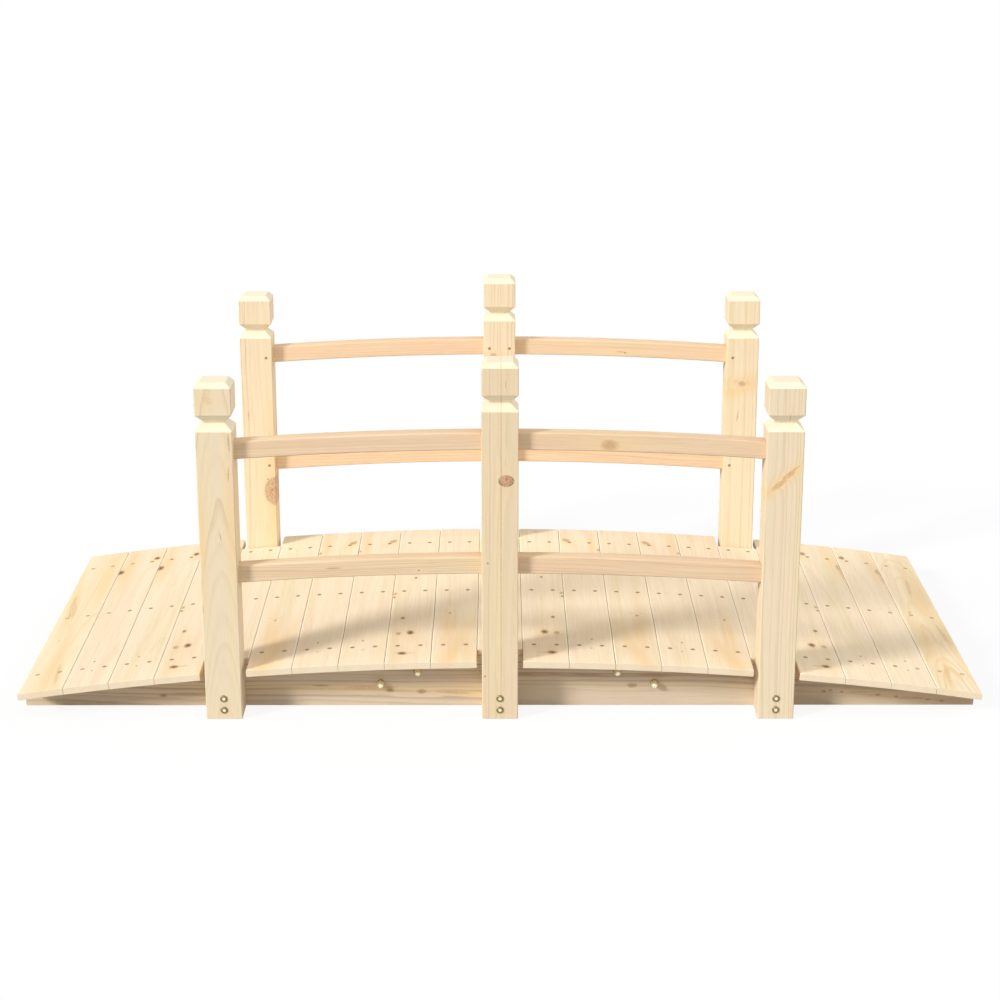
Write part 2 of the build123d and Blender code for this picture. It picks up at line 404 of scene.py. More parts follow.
# %% Tones of fir
FIR_TONES = {
    "cream": dict(early=(0.930, 0.772, 0.558), late=(0.80, 0.60, 0.375), heart=(0.30, 0.150, 0.048)),
    "honey": dict(early=(0.940, 0.790, 0.548), late=(0.81, 0.565, 0.300), heart=(0.55, 0.290, 0.100)),
    "straw": dict(early=(0.815, 0.685, 0.485), late=(0.62, 0.445, 0.260), heart=(0.56, 0.270, 0.110)),
    "oat": dict(early=(0.870, 0.735, 0.520), late=(0.68, 0.490, 0.280), heart=(0.52, 0.285, 0.160)),
    "wheat": dict(early=(0.780, 0.630, 0.422), late=(0.60, 0.410, 0.230), heart=(0.48, 0.215, 0.110)),
    "rose": dict(early=(0.785, 0.570, 0.374), late=(0.61, 0.395, 0.230), heart=(0.52, 0.270, 0.140)),
    "blush": dict(early=(0.850, 0.605, 0.392), late=(0.67, 0.425, 0.245), heart=(0.52, 0.270, 0.140)),
    "tan": dict(early=(0.775, 0.625, 0.455), late=(0.42, 0.295, 0.185), heart=(0.32, 0.160, 0.070)),
    "buff": dict(early=(0.745, 0.605, 0.450), late=(0.50, 0.350, 0.225), heart=(0.34, 0.150, 0.080)),
}
print("fir tones:", len(FIR_TONES))

# %% [markdown]
# ## One fir for each timber
# No two boards are alike, so every timber gets a material of its own, made by one function:
# a Mapping node turns the frame's coordinates into the board's own, then come rings, knots and finish.
# One material for all with chance offsets would be shorter, but no knot could then be put in its place.

# %% Materials: fir boards
BUMP_HEIGHT = 0.00025
WOOD_GLOSS = 0.06
# Widths of the painted highlight on plank corners and of the painted shade on plank sides
EDGE_WIDTH = 0.0030
SEAM_WIDTH = 0.0005
SAWN_DULL = (0.79, 0.655, 0.48)
# Pale sawn colour of the posts, which also paints a highlight on their caps and bevels
SAWN_PAINTED_HIGHLIGHT = (0.96, 0.88, 0.68)


def chain_knots(tree, board, knots, seed):
    """One knot group after another, each passing on what the knots before it gave."""
    carried = {"Lift": 0.0, "Heart": 0.0, "Bark": 0.0, "Glow": 0.0}
    for number, mark in enumerate(knots):
        form = KNOT_KINDS[mark["kind"]]
        sockets = {
            "Board": board, "Middle": (mark["across"], mark["along"], 0.0), "Turn": mark["turn"],
            "Radius": form["radius"] * mark["size"], "Stretch": form["stretch"], "Heart Share": form["heart"],
            "Pith Share": form["pith"], "Rim Share": form["rim"], "Glow Share": form["glow"],
            "Pull": form["pull"], "Seed": seed + number, **carried,
        }
        given = use(tree, knot_group, sockets)
        carried = {key: given[key] for key in carried}
    return carried


def corner_masks(tree, board, half_width, top):
    """Masks for a painted highlight on a plank's upper corners and for painted shade on its sides,
    by the distance from its middle.
    """
    side, _, out = add(tree, "ShaderNodeSeparateXYZ", {0: board}).outputs
    side = calc(tree, "ABSOLUTE", side)
    near_side = ease(tree, side, half_width - EDGE_WIDTH, half_width - EDGE_WIDTH / 2)
    near_top = ease(tree, out, top - EDGE_WIDTH / 2, top - EDGE_WIDTH / 4)
    edge_highlight_mask = calc(tree, "MULTIPLY", near_side, near_top)
    seam_shade_mask = ease(tree, side, half_width - SEAM_WIDTH, half_width - SEAM_WIDTH / 2)
    return edge_highlight_mask, seam_shade_mask


def fir(name, centre, turn, grain_line, tone, cut, knots=(), seed=0.0, grain=0.7, sawn=SAWN_DULL, edges=None):
    """A board's own fir. The cut says where the pith lies: across, depth, lean, wander and ring width.
    Faces that look along the grain line take the sawn colour. With edges, half the width and thickness,
    the upper corners get a painted highlight, and the sides painted shade, as in the seam between planks."""
    material = bpy.data.materials.new(name)
    material.use_nodes = True
    tree = material.node_tree
    shader = tree.nodes["Principled BSDF"]
    place = add(tree, "ShaderNodeTexCoord").outputs["Object"]
    sockets = {"Vector": place, "Location": centre, "Rotation": turn}
    board = add(tree, "ShaderNodeMapping", sockets, vector_type="TEXTURE").outputs[0]
    carried = chain_knots(tree, board, knots, seed)
    across, depth, lean, wander, ring_width = cut
    sockets = {
        "Board": board, "Pith Across": across, "Pith Depth": depth, "Lean": lean, "Wander": wander,
        "Ring Width": ring_width, "Lift": carried["Lift"], "Seed": seed,
    }
    rings = use(tree, growth_rings, sockets)
    normal = add(tree, "ShaderNodeNewGeometry").outputs["True Normal"]
    facing = add(tree, "ShaderNodeVectorMath", {0: normal, 1: grain_line}, operation="DOT_PRODUCT")
    sawn_mask = ease(tree, calc(tree, "ABSOLUTE", facing.outputs["Value"]), 0.4, 0.65)
    edge_highlight_mask, seam_shade_mask = corner_masks(tree, board, *edges) if edges else (0.0, 0.0)
    sockets = {
        **{name: rings[name] for name, _ in RING_OUTPUTS},
        "Heart": carried["Heart"], "Bark": carried["Bark"], "Glow": carried["Glow"],
        "Sawn": sawn_mask, "Edge Highlight": edge_highlight_mask, "Seam": seam_shade_mask, "Sawn Colour": (*sawn, 1.0),
        "Early": (*FIR_TONES[tone]["early"], 1.0), "Late Colour": (*FIR_TONES[tone]["late"], 1.0),
        "Heart Colour": (*FIR_TONES[tone]["heart"], 1.0), "Grain": grain,
    }
    finish = use(tree, planed_fir, sockets)
    bump = add(tree, "ShaderNodeBump", {"Height": finish["Height"], "Strength": 0.5, "Distance": BUMP_HEIGHT})
    put(tree, shader.inputs["Base Color"], finish["Color"])
    put(tree, shader.inputs["Roughness"], finish["Roughness"])
    put(tree, shader.inputs["Normal"], bump.outputs[0])
    shader.inputs["Specular IOR Level"].default_value = WOOD_GLOSS
    return material


print("fir boards ready")

# %% [markdown]
# ## Marking and dressing a timber
# Knots are given as shares of a timber, so that they keep their places when its size changes.
# Planed timbers have no razor edges, so each one also gets a small live bevel.

# %% Knots and eased edges
WELD_DISTANCE = 0.00002
EASED_EDGE = 0.0006
SHARP_ANGLE = math.radians(20)


def knot(kind, across, along, size=1.0, turn=0.0):
    """A knot of a kind at shares of a timber's width and length, from its middle, with its size and turn."""
    return dict(kind=kind, across=across, along=along, size=size, turn=math.radians(turn))


def set_knots(knots, width, length, hand=1):
    """The same knots in metres on a timber; hand -1 turns the board over."""
    placed = []
    for mark in knots:
        across, along = hand * mark["across"] * width, mark["along"] * length
        placed.append(dict(mark, across=across, along=along, turn=hand * mark["turn"]))
    return placed


def dress(node, material):
    """Gives a timber its material and eased edges: loose triangles are welded, then sharp edges bevelled."""
    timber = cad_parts[node]
    timber.data.materials.clear()
    timber.data.materials.append(material)
    weld = timber.modifiers.new("weld", "WELD")
    weld.merge_threshold = WELD_DISTANCE
    bevel = timber.modifiers.new("eased_edges", "BEVEL")
    bevel.width = EASED_EDGE
    bevel.segments = 2
    bevel.limit_method = "ANGLE"
    bevel.angle_limit = SHARP_ANGLE
    bevel.harden_normals = True


print("knots and eased edges ready")

# %% [markdown]
# ## Deck planks
# The deck is planed boards, some clear and some with knots. Painting each one would need a picture apiece,
# so the deck uses eight sorts of board, and the right half of the bridge shows them turned over.
# Knots are placed as shares of the plank's width and length, from its middle.

# %% Dress the planks
PLANK_GRAIN_LINE = (0.0, 1.0, 0.0)
CREAM_GRAIN = 0.32
BOARD_SORTS = {
    "cluster": dict(
        tone="cream", cut=(0.070, -0.050, 0.010, 0.004, 0.0046), grain=CREAM_GRAIN,
        knots=[
            knot("brown", -0.21, -0.197, 0.85), knot("dark", 0.0, -0.30), knot("pale", -0.27, -0.305),
            knot("spike", -0.14, -0.437), knot("streak", 0.04, -0.437, 1.1, 88),
            knot("pale", -0.46, -0.02, 0.8), knot("brown", -0.46, -0.045, 0.60),
            knot("brown", 0.0, 0.10, 0.60),
        ],
    ),
    "forked": dict(
        tone="cream", cut=(-0.040, -0.055, 0.012, 0.005, 0.0052), grain=CREAM_GRAIN,
        knots=[
            knot("pale", -0.14, -0.170, 0.6), knot("wing", -0.24, -0.155, 1.0, -55),
            knot("wing", -0.04, -0.155, 1.0, 55), knot("stain", -0.20, -0.27, 0.50),
            knot("stain", -0.07, -0.29, 0.40), knot("stain", -0.10, -0.46, 0.9, 12),
        ],
    ),
    "edge_knots": dict(
        tone="cream", cut=(0.030, -0.075, 0.020, 0.005, 0.0048), grain=CREAM_GRAIN,
        knots=[
            knot("edge", -0.45, 0.32), knot("stain", -0.28, 0.36, 0.55), knot("dark", 0.35, 0.41, 0.9),
            knot("pin", -0.04, -0.345, 1.3), knot("pin", -0.01, -0.405, 1.1),
        ],
    ),
    "smudged": dict(
        tone="cream", cut=(0.030, -0.075, 0.020, 0.005, 0.0048), grain=CREAM_GRAIN,
        knots=[
            knot("pale", 0.33, 0.405, 1.4, 25), knot("speck", -0.46, 0.33, 1.3),
            knot("stain", -0.30, 0.38, 0.4), knot("pin", -0.04, -0.345, 1.3), knot("pin", -0.01, -0.405, 1.1),
        ],
    ),
    "soft_knots": dict(
        tone="cream", cut=(0.030, -0.075, 0.020, 0.005, 0.0048), grain=CREAM_GRAIN,
        knots=[
            knot("flame", -0.45, 0.32, 1.1), knot("flare", -0.47, 0.27, 0.6), knot("stain", -0.30, 0.36, 0.5),
            knot("brown", 0.35, 0.41, 1.3), knot("pin", -0.04, -0.345, 1.3), knot("pin", -0.01, -0.405, 1.1),
        ],
    ),
    "streaked": dict(
        tone="honey", cut=(0.030, -0.055, 0.020, 0.006, 0.0038), grain=0.55,
        knots=[
            knot("flare", -0.28, 0.10, 1.0, -3), knot("flare", -0.17, 0.05, 0.8, -4),
            knot("streak", -0.22, 0.02, 1.6, -4), knot("stain", 0.28, 0.30, 1.0),
            knot("flare", 0.22, -0.40, 0.9, -5), knot("stain", 0.05, -0.34, 0.8), knot("pin", -0.15, -0.165),
        ],
    ),
    "flamed": dict(
        tone="honey", cut=(0.004, -0.046, 0.055, 0.014, 0.0046), grain=1.0,
        knots=[
            knot("stain", -0.20, 0.10, 1.0), knot("stain", 0.22, -0.20, 0.9),
            knot("flare", -0.30, -0.12, 0.9, 4), knot("flare", 0.10, -0.40, 1.0, -5),
            knot("flare", -0.05, 0.22, 0.9, -4), knot("pale", 0.25, 0.02, 0.6),
        ],
    ),
    "plain": dict(tone="cream", cut=(0.055, -0.060, 0.015, 0.004, 0.0047), grain=CREAM_GRAIN, knots=[]),
}
DECK_ORDER = (
    "streaked", "edge_knots", "edge_knots", "cluster", "plain",
    "forked", "smudged", "smudged", "cluster", "forked", "plain",
    "cluster", "smudged", "forked", "smudged", "forked", "plain",
    "cluster", "soft_knots", "soft_knots", "flamed",
)

plank_length = size_of("plank_01").y
for number, (node, sort) in enumerate(zip(PLANKS, DECK_ORDER)):
    board = BOARD_SORTS[sort]
    hand = -1 if number > PLANK_COUNT // 2 else 1
    across, *rest = board["cut"]
    knots = set_knots(board["knots"], plank_width, plank_length, hand)
    turn = (0.0, plank_angle(node), 0.0)
    cut = (hand * across, *rest)
    finish = fir(
        f"fir_{node}", centre_of(node), turn, PLANK_GRAIN_LINE, board["tone"], cut, knots,
        seed=number * 3.7, grain=board["grain"], edges=(plank_width / 2, plank_thickness / 2),
    )
    dress(node, finish)
print("planks dressed:", len(PLANKS))

# %% [markdown]
# ## Posts
# The posts stand with the grain upright. Board X stays along the bridge, and board Z points out of the front.
# The grooves and bevels are in the frame's solids already. They cut across the grain and take a pale sawn
# colour, which also paints a highlight on the caps and bevels.

# %% Dress the posts
UPRIGHT = (math.pi / 2, 0.0, 0.0)
POST_GRAIN_LINE = (0.0, 0.0, 1.0)
POST_CUTS = {
    "post_front_left": (0.004, -0.034, 0.050, 0.012, 0.0032),
    "post_front_centre": (0.030, -0.042, 0.004, 0.003, 0.0034),
    "post_front_right": (-0.034, -0.030, 0.004, 0.003, 0.0036),
    "post_back_left": (0.050, -0.060, 0.008, 0.005, 0.0042),
    "post_back_centre": (0.060, -0.030, 0.008, 0.004, 0.0042),
    "post_back_right": (-0.050, -0.070, 0.006, 0.004, 0.0042),
}
POST_TONES = {
    "post_front_left": "straw", "post_front_centre": "wheat", "post_front_right": "straw",
    "post_back_left": "oat", "post_back_centre": "oat", "post_back_right": "oat",
}
POST_KNOTS = {
    "post_front_left": [
        knot("streak", 0.40, 0.33, 1.6, -4), knot("streak", 0.36, 0.24, 1.2, 3),
        knot("streak", 0.08, 0.055, 1.0, -12), knot("stain", 0.40, 0.10, 0.5),
        knot("stain", -0.42, 0.06, 0.4), knot("streak", -0.47, -0.16, 0.9),
        knot("wing", -0.16, 0.455, 2.4), knot("wing", -0.08, 0.448, 2.0),
    ],
    "post_front_centre": [
        knot("oval", 0.17, 0.18), knot("pin", -0.33, -0.05, 1.2), knot("pin", -0.41, -0.375),
        knot("line", 0.03, 0.0), knot("streak", 0.15, 0.445, 0.7),
    ],
    "post_front_right": [
        knot("flame", -0.14, 0.208, 0.9, 52), knot("flame", 0.12, 0.236, 0.8, 55),
        knot("streak", 0.20, 0.248, 1.4, 52), knot("stain", -0.25, 0.20, 0.6, 50),
        knot("streak", -0.22, 0.205, 1.0, 60), knot("streak", 0.10, 0.40, 0.8),
    ],
    "post_back_left": [
        knot("large", 0.48, -0.16), knot("pin", 0.38, -0.155, 1.8), knot("pin", 0.25, -0.118),
        knot("streak", -0.3, 0.1), knot("stain", 0.42, -0.16, 0.9),
    ],
    "post_back_centre": [knot("pale", -0.19, 0.262, 0.7, 80), knot("wing", -0.05, 0.258, 1.2, 60)],
    "post_back_right": [
        knot("pale", 0.0, 0.208, 1.0, 88), knot("wing", -0.20, 0.216, 1.5, -65),
        knot("wing", 0.20, 0.212, 1.5, 65), knot("stain", 0.12, 0.195, 0.7, 70),
        knot("stain", -0.15, 0.215, 0.5, 80), knot("streak", -0.1, 0.10, 1.2, 8),
    ],
}
POST_GRAIN = 0.62
for number, node in enumerate(POSTS):
    height = size_of(node).z
    knots = set_knots(POST_KNOTS[node], post_size, height)
    seed = 80 + number * 5.3
    finish = fir(
        f"fir_{node}", centre_of(node), UPRIGHT, POST_GRAIN_LINE, POST_TONES[node], POST_CUTS[node], knots,
        seed=seed, grain=POST_GRAIN, sawn=SAWN_PAINTED_HIGHLIGHT,
    )
    dress(node, finish)
print("posts dressed:", len(POSTS))

# %% [markdown]
# ## Handrails, beams and splice boards
# These lie along the bridge. Board Y is turned to the bridge's X, and board Z again points out of the front.
# The handrails are sawn to their curve from straight boards, so their grain follows the chord of each bay.

# %% Dress the long timbers
LONG_GRAIN_LINE = (1.0, 0.0, 0.0)


def along_bridge(slope):
    """Turn of a board whose length rises along the bridge by the angle slope, with its face to the front."""
    along = Vector((math.cos(slope), 0.0, math.sin(slope)))
    out = Vector((0.0, -1.0, 0.0))
    across = along.cross(out)
    return Matrix((across, along, out)).transposed().to_euler()


RAIL_KNOTS = {
    "rail_front_right_upper": [knot("pale", 0.0, -0.12, 1.8)],
    "rail_back_right_upper": [knot("streak", 0.05, 0.0, 1.0), knot("pin", 0.1, 0.02)],
    "rail_front_left_lower": [knot("pin", 0.15, 0.22), knot("streak", -0.2, -0.1, 1.5)],
}
RAIL_GRAIN = 0.65
for number, node in enumerate(RAILS):
    middle, size = centre_of(node), size_of(node)
    rise = (size.z - size.y) / size.x
    slope = math.atan(rise) * (1 if middle.x < 0 else -1)
    side = 1 if number % 2 else -1
    cut = (0.050 * side, -0.035 - 0.004 * number, 0.012 * side, 0.004, 0.0034)
    knots = set_knots(RAIL_KNOTS.get(node, []), rail_thickness, size.x)
    seed = 130 + number * 4.1
    tone = "rose" if middle.y < 0 else "blush"
    turn = along_bridge(slope)
    dress(node, fir(f"fir_{node}", middle, turn, LONG_GRAIN_LINE, tone, cut, knots, seed, RAIL_GRAIN))

BEAM_KNOTS = {
    "left": [
        knot("speck", 0.22, 0.305, 1.6), knot("flare", 0.24, 0.37, 0.6, 3), knot("speck", 0.20, 0.24, 1.3),
        knot("flare", 0.14, 0.20, 0.8), knot("speck", 0.30, -0.22, 1.2), knot("streak", 0.10, 0.10, 1.5),
    ],
    "right": [
        knot("speck", 0.22, 0.17, 0.8), knot("speck", 0.20, 0.185, 0.7), knot("speck", 0.23, 0.21, 0.7),
        knot("flare", 0.24, 0.25, 0.4), knot("speck", 0.29, 0.29, 0.8), knot("speck", 0.33, 0.33, 0.7),
        knot("flare", 0.36, 0.36, 0.5), knot("speck", 0.39, 0.40, 0.8), knot("speck", 0.42, 0.43, 0.7),
        knot("speck", 0.10, -0.25, 1.6),
    ],
}
BEAM_GRAIN = 1.1
for number, node in enumerate(BEAMS + SPLICES):
    middle, size = centre_of(node), size_of(node)
    right_half = node.endswith("right")
    cut = (0.060 - 0.02 * (number % 3), -0.040, 0.012, 0.007, 0.0046)
    knots = set_knots(BEAM_KNOTS["right" if right_half else "left"], size.z, size.x)
    tone = "buff" if right_half else "tan"
    seed = 190 + number * 6.7
    turn = along_bridge(0.0)
    dress(node, fir(f"fir_{node}", middle, turn, LONG_GRAIN_LINE, tone, cut, knots, seed, BEAM_GRAIN))
print("long timbers dressed:", len(RAILS) + len(BEAMS) + len(SPLICES))

# %% [markdown]
# ## Turned fasteners
# Screws, bolts and nuts are round or six-sided about one axis, so one function makes them all.
# It is a grid of two parameters: the way along the profile and the angle round the axis.
# Many copies are placed at once by multiplying the grid with an array of frames.

# %% Fastener helpers
MILLIMETRE = 0.001


def turned(radii, heights, six_sided, sides):
    """Points of a turned shape about +Z: radius(s, t) = radii(s) × (1 + six_sided(s) × (1 / cos w − 1)),
    where w is the angle from the middle of the nearest of six flats. A point on the axis closes each end."""
    radii, heights, six_sided = (np.asarray(v, float) for v in (radii, heights, six_sided))
    angle = np.linspace(0.0, 2 * np.pi, sides, endpoint=False)
    off_flat = (angle + np.pi / 6) % (np.pi / 3) - np.pi / 6
    radius = radii[:, None] * (1 + six_sided[:, None] * (1 / np.cos(off_flat) - 1))
    height = np.broadcast_to(heights[:, None], radius.shape)
    grid = np.stack([radius * np.cos(angle), radius * np.sin(angle), height], axis=-1)
    poles = np.array([[0.0, 0.0, heights[0]], [0.0, 0.0, heights[-1]]])
    points = np.concatenate([grid.reshape(-1, 3), poles])
    rows = len(radii)
    index = np.arange(rows * sides).reshape(rows, sides)
    after = np.roll(index, -1, axis=1)
    quads = np.stack([index[:-1], after[:-1], after[1:], index[1:]], axis=-1).reshape(-1, 4)
    foot = np.stack([after[0], index[0], np.full(sides, rows * sides)], axis=-1)
    tip = np.stack([index[-1], after[-1], np.full(sides, rows * sides + 1)], axis=-1)
    share = np.append(np.repeat(np.linspace(0.0, 1.0, rows), sides), [0.0, 1.0])
    return points, [quads, np.concatenate([foot, tip])], share


def frames_facing(places, outs):
    """Frames at the places, with Z pointing out: X is square to Z and to the bridge's up or length."""
    outs = np.asarray(outs, float)
    helper = np.where(np.abs(outs[:, 2:]) > 0.7, [[0.0, 1.0, 0.0]], [[0.0, 0.0, 1.0]])
    first = np.cross(helper, outs)
    first /= np.linalg.norm(first, axis=1, keepdims=True)
    second = np.cross(outs, first)
    return np.asarray(places, float), np.stack([first, second, outs], axis=-1)


def place_copies(name, shape, places, outs, material):
    """One mesh with a copy of the shape at every place: point = place + frame × shape's point."""
    points, face_sets, share = shape
    origins, axes = frames_facing(places, outs)
    copies = np.einsum("cij,pj->cpi", axes, points) + origins[:, None, :]
    shift = (np.arange(len(origins)) * len(points))[:, None, None]
    faces = [face for part in face_sets for face in (part[None] + shift).reshape(-1, part.shape[1]).tolist()]
    mesh = bpy.data.meshes.new(name)
    mesh.from_pydata(copies.reshape(-1, 3).tolist(), [], faces)
    profile = mesh.attributes.new("profile", "FLOAT", "POINT")
    profile.data.foreach_set("value", np.tile(share, len(origins)).astype(np.float32))
    mesh.shade_smooth()
    mesh.materials.append(material)
    piece = bpy.data.objects.new(name, mesh)
    bpy.context.scene.collection.objects.link(piece)
    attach(piece, "root")
    print(name, len(origins), "copies,", len(faces), "faces")
    return piece


print("fastener helpers ready")

# %% [markdown]
# ## Fastener metals
# The screws are dull steel that has browned. The bolts and nuts are yellow zinc, a brassy film over steel.
# All read the profile attribute, so that a rim can differ from its crown. On the bolt heads and cap nuts
# the dark olive rim is painted shade and the near-white crown a painted highlight.

# %% Materials: metals
MOTTLE_WAVES = 500.0


def metal(name, rim_colour, crown_colour, step, roughness, metallic=1.0, gloss=0.5):
    """Metal that goes from the rim's colour to the crown's between two shares of the profile,
    with a mottle all over that shifts the colour and the roughness."""
    material = bpy.data.materials.new(name)
    material.use_nodes = True
    tree = material.node_tree
    shader = tree.nodes["Principled BSDF"]
    profile = add(tree, "ShaderNodeAttribute", attribute_name="profile").outputs["Fac"]
    place = add(tree, "ShaderNodeTexCoord").outputs["Object"]
    sockets = {"Vector": place, "Scale": MOTTLE_WAVES, "Detail": 2.0}
    mottle = add(tree, "ShaderNodeTexNoise", sockets).outputs[0]
    share = calc(tree, "MULTIPLY_ADD", mottle, 0.2, ease(tree, profile, *step, -0.1, 0.9))
    put(tree, shader.inputs["Base Color"], mix(tree, share, (*rim_colour, 1.0), (*crown_colour, 1.0)))
    put(tree, shader.inputs["Roughness"], ease(tree, mottle, 0.3, 0.7, *roughness))
    shader.inputs["Metallic"].default_value = metallic
    shader.inputs["Specular IOR Level"].default_value = gloss
    return material


screw_steel = metal(
    "screw_steel", (0.54, 0.400, 0.220), (0.36, 0.250, 0.120), step=(0.30, 0.75), roughness=(0.60, 0.80),
    metallic=0.0, gloss=0.05,
)
# Dark olive rim as painted shade, pale crown as a painted highlight
bolt_zinc = metal(
    "bolt_zinc", (0.250, 0.200, 0.080), (0.93, 0.840, 0.580), step=(0.72, 0.84), roughness=(0.36, 0.50)
)
# Olive washer and hex as painted shade, near-white dome as a painted highlight
nut_zinc = metal(
    "nut_zinc", (0.420, 0.360, 0.140), (1.00, 0.940, 0.640), step=(0.15, 0.45), roughness=(0.20, 0.34),
    metallic=0.6,
)
print("metals made")

# %% [markdown]
# ## Deck screws
# Two countersunk screws hold each plank to each beam, a quarter of the plank's width from its edges.
# A head is nearly flush, with a dish in its middle for the driver.

# %% Drive the screws
HEAD_RADIUS = 0.0039
HEAD_SHARES = np.array([1.0, 1.0, 0.86, 0.50, 0.36])
HEAD_HEIGHTS = MILLIMETRE * np.array([-0.3, 0.06, 0.20, 0.25, 0.10])
SCREW_SHARE = 0.25


def screw_head(radius, sides):
    """A countersunk head: a low rim that rounds over to a dish, with radii as shares of its own."""
    return turned(radius * HEAD_SHARES, HEAD_HEIGHTS, np.zeros(len(HEAD_SHARES)), sides)


deck_screw = screw_head(HEAD_RADIUS, 12)
beam_rows = [centre_of(f"stringer_{line}_left").y for line in BEAM_LINES]
angles = np.array([plank_angle(node) for node in PLANKS])
middles = np.array([centre_of(node) for node in PLANKS])
outs = np.stack([np.sin(angles), np.zeros(PLANK_COUNT), np.cos(angles)], axis=-1)
alongs = np.stack([np.cos(angles), np.zeros(PLANK_COUNT), -np.sin(angles)], axis=-1)
tops = middles + outs * plank_thickness / 2
sides = np.array([-SCREW_SHARE, SCREW_SHARE]) * plank_width
head_places = tops[:, None, None] + alongs[:, None, None] * sides[None, :, None, None]
head_places = np.broadcast_to(head_places, (PLANK_COUNT, 2, 3, 3)).copy()
head_places[..., 1] = beam_rows
head_outs = np.broadcast_to(outs[:, None, None], head_places.shape)
head_places, head_outs = head_places.reshape(-1, 3), head_outs.reshape(-1, 3)
place_copies("deck_screws", deck_screw, head_places, head_outs, screw_steel)

# %% [markdown]
# ## Bolts and cap nuts
# Two bolts go through the foot of each post and its beam, with cap nuts on the inner side.
# Four more close each splice: their cap nuts are on the outer face and their heads on the splice board.
# Both are turned profiles. A nut goes from round to six-sided and back on its way up.

# %% Set the bolts
BOLT_RADIUS = 0.0057
BOLT_HEIGHTS = (0.0152, 0.0342)
bolt_head = turned(
    BOLT_RADIUS * np.array([1.0, 1.0, 0.94, 0.82, 0.66, 0.50, 0.38, 0.18]),
    MILLIMETRE * np.array([-0.4, 0.5, 1.1, 1.6, 1.7, 1.4, 1.0, 1.0]),
    np.zeros(8),
    24,
)
NUT_RADIUS = 0.0054
cap_nut = turned(
    NUT_RADIUS * np.array([1.20, 1.20, 1.0, 1.0, 0.97, 0.93, 0.84, 0.64, 0.34]),
    MILLIMETRE * np.array([-0.3, 1.5, 1.5, 6.4, 7.0, 8.6, 10.6, 12.4, 13.4]),
    np.array([0, 0, 1, 1, 0.3, 0, 0, 0, 0]),
    24,
)
SPLICE_BOLTS = ((-0.2155, 0.0375), (-0.157, 0.058), (0.157, 0.058), (0.2155, 0.0375))
joint_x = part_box("stringer_front_left")[1].x


def faces_of(node, outward):
    """Y of the face of a timber that looks outward, -1 to the front or 1 to the back."""
    low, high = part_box(node)
    return low.y if outward < 0 else high.y


def line_up(spots, face, outward):
    """Places on an upright face at spots along the bridge and up, all looking outward."""
    places = [(x, face, z) for x, z in spots]
    return places, [(0.0, outward, 0.0)] * len(places)


heads, nuts = [], []
for node in POSTS:
    line, place = node.split("_")[1:]
    outward = -1.0 if line == "front" else 1.0
    inner = f"splice_{line}" if place == "centre" else f"stringer_{line}_{place}"
    spots = [(centre_of(node).x, height) for height in BOLT_HEIGHTS]
    heads.append(line_up(spots, faces_of(node, outward), outward))
    nuts.append(line_up(spots, faces_of(inner, -outward), -outward))
for line in BEAM_LINES:
    outward = 1.0 if line == "back" else -1.0
    spots = [(joint_x + x, z) for x, z in SPLICE_BOLTS]
    nuts.append(line_up(spots, faces_of(f"stringer_{line}_left", outward), outward))
    heads.append(line_up(spots, faces_of(f"splice_{line}", -outward), -outward))
for name, shape, rows, metal_finish in (
    ("bolt_heads", bolt_head, heads, bolt_zinc), ("cap_nuts", cap_nut, nuts, nut_zinc)
):
    places = [place for places, _ in rows for place in places]
    outs = [out for _, outs in rows for out in outs]
    place_copies(name, shape, places, outs, metal_finish)

# %% [markdown]
# ## Rail screws
# A screw from inside the walkway goes through the post into each rail end. Its head has the shape of a
# deck screw's, but is smaller. It sits a little way from the end of the rail, at the height of its middle.

# %% Set the rail screws
SCREW_RADIUS = 0.0027
SCREW_EDGE = 0.0075
rail_screw = screw_head(SCREW_RADIUS, 16)
screw_places = []
screw_outs = []
for node in RAILS:
    low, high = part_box(node)
    line = node.split("_")[1]
    inward = 1.0 if line == "front" else -1.0
    face = faces_of(f"post_{line}_centre", inward)
    outer, inner, step = (low.x, high.x, SCREW_EDGE) if "left" in node else (high.x, low.x, -SCREW_EDGE)
    screw_places += [(outer + step, face, low.z + rail_thickness / 2)]
    screw_places += [(inner - step, face, high.z - rail_thickness / 2)]
    screw_outs += [(0.0, inward, 0.0)] * 2
place_copies("rail_screws", rail_screw, screw_places, screw_outs, screw_steel)

# %% [markdown]
# ## Floor and backdrop
# The floor is pale and nearly shadowless, as in a product picture. Most of what the camera sees of it is
# plain white, and the rest is matt paint that keeps a soft shadow. The light that bounces off it is weaker,
# so that the undersides stay darker than the deck. More lamps on the floor would bleach the wood as well.

# %% Floor and world
FLOOR_SIZE = 40.0
FLOOR_DROP = 0.0006
floor_corners = np.array([[-1, -1], [1, -1], [1, 1], [-1, 1]]) * FLOOR_SIZE / 2
floor_points = np.column_stack([floor_corners, np.full(4, -FLOOR_DROP)])
floor_mesh = bpy.data.meshes.new("floor")
floor_mesh.from_pydata(floor_points.tolist(), [], [(0, 1, 2, 3)])
floor = bpy.data.objects.new("floor", floor_mesh)
bpy.context.scene.collection.objects.link(floor)


def seen_directly(tree):
    """1 for a ray from the camera, a reflection or a pane, and 0 for light that bounces."""
    path = add(tree, "ShaderNodeLightPath").outputs
    seen = calc(tree, "MAXIMUM", path["Is Camera Ray"], path["Is Glossy Ray"])
    return calc(tree, "MAXIMUM", seen, path["Is Transmission Ray"])


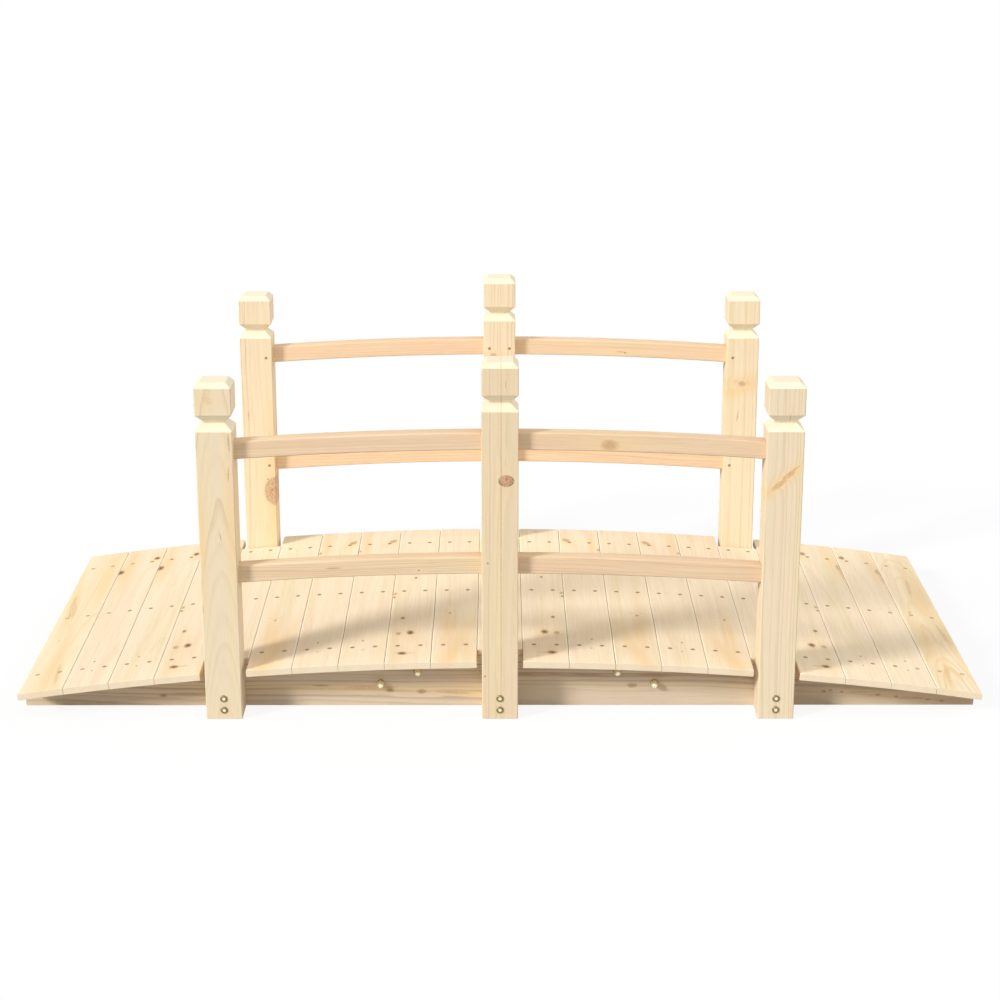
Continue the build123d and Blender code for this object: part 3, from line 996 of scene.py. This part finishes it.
FLOOR_BOUNCE = 0.52
FLOOR_SEEN = 0.92
WHITE_SHARE = 0.88
paper = bpy.data.materials.new("floor_paper")
paper.use_nodes = True
tree = paper.node_tree
shader = tree.nodes["Principled BSDF"]
shader.inputs["Roughness"].default_value = 0.9
shader.inputs["Specular IOR Level"].default_value = 0.1
direct = seen_directly(tree)
grey = calc(tree, "MULTIPLY_ADD", direct, FLOOR_SEEN - FLOOR_BOUNCE, FLOOR_BOUNCE)
tint = add(tree, "ShaderNodeCombineXYZ", {0: grey, 1: grey, 2: grey}).outputs[0]
put(tree, shader.inputs["Base Color"], tint)
white = add(tree, "ShaderNodeEmission", {"Color": (1.0, 1.0, 1.0, 1.0), "Strength": 1.0})
share = calc(tree, "MULTIPLY", direct, WHITE_SHARE)
both = add(tree, "ShaderNodeMixShader", {0: share, 1: shader.outputs[0], 2: white.outputs[0]})
put(tree, tree.nodes["Material Output"].inputs["Surface"], both.outputs[0])
floor_mesh.materials.append(paper)

AMBIENT = 0.265
world = bpy.data.worlds.new("studio")
bpy.context.scene.world = world
world.use_nodes = True
tree = world.node_tree
backdrop = tree.nodes["Background"]
backdrop.inputs["Color"].default_value = (1.0, 1.0, 1.0, 1.0)
level = calc(tree, "MULTIPLY_ADD", seen_directly(tree), 1.0 - AMBIENT, AMBIENT)
put(tree, backdrop.inputs["Strength"], level)
print("studio ready")

# %% [markdown]
# ## Light
# A low broad sun from the front left throws the slanting soft shadows over the deck. A high softbox in
# front lights the planks and bevels. Two weak fills, from the right and from behind, open the shaded sides.
# All are suns, because a lamp far away lights both ends of the bridge alike. A strength of 1 makes a white
# surface that faces the lamp just white.

# %% Lamps
def soft_lamp(name, heading, height, spread, strength):
    """A lamp far away that shines along a heading (degrees from +X towards +Y) and down by its height."""
    heading, height = math.radians(heading), math.radians(height)
    level = math.cos(height)
    ray = Vector((math.cos(heading) * level, math.sin(heading) * level, -math.sin(height)))
    lamp_data = bpy.data.lights.new(name, "SUN")
    lamp_data.energy = strength * math.pi
    lamp_data.angle = math.radians(spread)
    lamp = bpy.data.objects.new(name, lamp_data)
    bpy.context.scene.collection.objects.link(lamp)
    lamp.rotation_euler = ray.to_track_quat("-Z", "Y").to_euler()
    print(name, "shines towards", [round(v, 3) for v in ray])


soft_lamp("key_lamp", heading=34, height=27, spread=13, strength=0.90)
soft_lamp("front_softbox", heading=90, height=62, spread=60, strength=0.28)
soft_lamp("right_fill", heading=165, height=25, spread=70, strength=0.25)
soft_lamp("back_fill", heading=230, height=18, spread=60, strength=0.26)

# %% [markdown]
# ## Camera
# The camera stands in front of the bridge, a few metres off and above the handrails, and looks down at it.
# A long lens from that far keeps the perspective mild: far posts look nearly as large as the near ones.

# %% Camera
CAMERA_PLACE = (-0.0053, -3.5593, 1.3608)
CAMERA_TILT = math.radians(17.29)
CAMERA_YAW = math.radians(-0.095)
LENS_LENGTH = 80.49
SENSOR_WIDTH = 36.0
camera_data = bpy.data.cameras.new("camera")
camera_data.lens = LENS_LENGTH
camera_data.sensor_width = SENSOR_WIDTH
camera = bpy.data.objects.new("camera", camera_data)
bpy.context.scene.collection.objects.link(camera)
camera.location = CAMERA_PLACE
camera.rotation_euler = (math.pi / 2 - CAMERA_TILT, 0.0, CAMERA_YAW)
bpy.context.scene.camera = camera
bpy.context.scene.view_settings.view_transform = "Standard"
print("camera at", CAMERA_PLACE)
